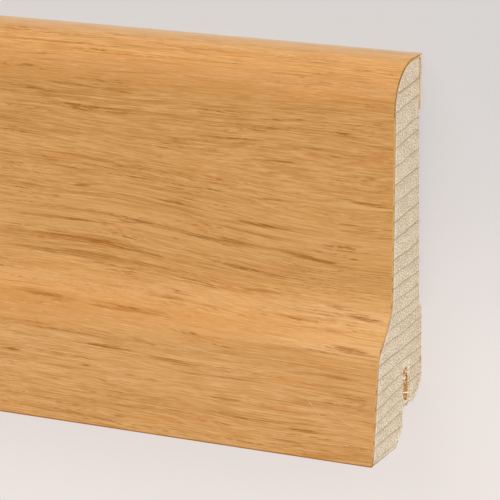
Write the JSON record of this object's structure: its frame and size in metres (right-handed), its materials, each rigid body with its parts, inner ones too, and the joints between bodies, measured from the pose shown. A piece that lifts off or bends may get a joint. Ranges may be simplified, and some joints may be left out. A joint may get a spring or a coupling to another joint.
{
  "type": "skirting board length",
  "caption": "Oak-veneered softwood skirting board length with an ogee foot, a rounded top, a hollow back and a recess and slot for hidden clips.",
  "frame": {"origin": "centre of the bounding box's lowest face, in the plane of the wall that the board is fixed to", "axes": "+X along the length, +Y across the board from its foot to its rounded top edge, +Z out from the wall; stored lying on its wall side"},
  "size_m": [2.2, 0.058, 0.019],
  "materials": {
    "softwood": "sawn and moulded, bare",
    "oak": "satin lacquer"
  },
  "bodies": {
    "root": {"softwood_core": "softwood", "oak_veneer": "oak"}
  },
  "joints": []
}
